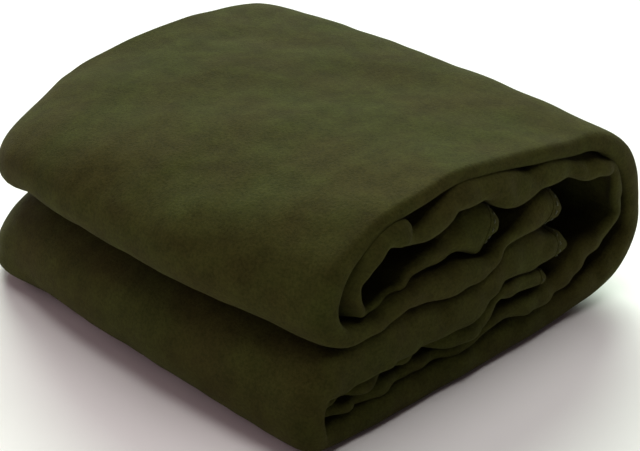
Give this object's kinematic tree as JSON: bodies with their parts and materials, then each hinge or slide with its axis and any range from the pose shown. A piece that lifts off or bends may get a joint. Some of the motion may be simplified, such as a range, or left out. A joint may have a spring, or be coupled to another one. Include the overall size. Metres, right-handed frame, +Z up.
{
  "type": "camp blanket",
  "caption": "Thick fleece blanket folded into a rounded rectangular bundle, whose last fold opens about its back.",
  "frame": {"origin": "centre of the bundle's underside, on the surface that it rests on", "axes": "+Z up, +X along the long rounded front towards the end that shows the plies, +Y from the front folds to the back fold"},
  "size_m": [0.38, 0.342, 0.15],
  "materials": {
    "fleece_face": "short raised nap, matt, olive green",
    "fleece_inside": "short raised nap, matt, olive green in shade",
    "hem": "turned fleece edge with a row of matching thread"
  },
  "bodies": {
    "lower_half": {"base_cover": "fleece_face", "base_lining": "fleece_inside", "lower_front_fold": "fleece_face", "lower_front_lining": "fleece_inside", "lower_leaf": "fleece_face", "lower_leaf_lining": "fleece_inside", "lower_hem": "hem"},
    "back_fold": {"back_cover": "fleece_face", "back_lining": "fleece_inside"},
    "upper_half": {"top_cover": "fleece_face", "top_lining": "fleece_inside", "upper_front_fold": "fleece_face", "upper_front_lining": "fleece_inside", "upper_leaf": "fleece_face", "upper_leaf_lining": "fleece_inside", "upper_hem": "hem"}
  },
  "joints": [
    {"name": "lower_back_fold", "type": "hinge", "parent": "lower_half", "child": "back_fold", "pos_m": [0, 0.15489, 0.01611], "axis": [-1, 0, 0], "range_deg": [0, 90]},
    {"name": "upper_back_fold", "type": "hinge", "parent": "back_fold", "child": "upper_half", "pos_m": [0, 0.15489, 0.13389], "axis": [-1, 0, 0], "range_deg": [0, 90]}
  ]
}
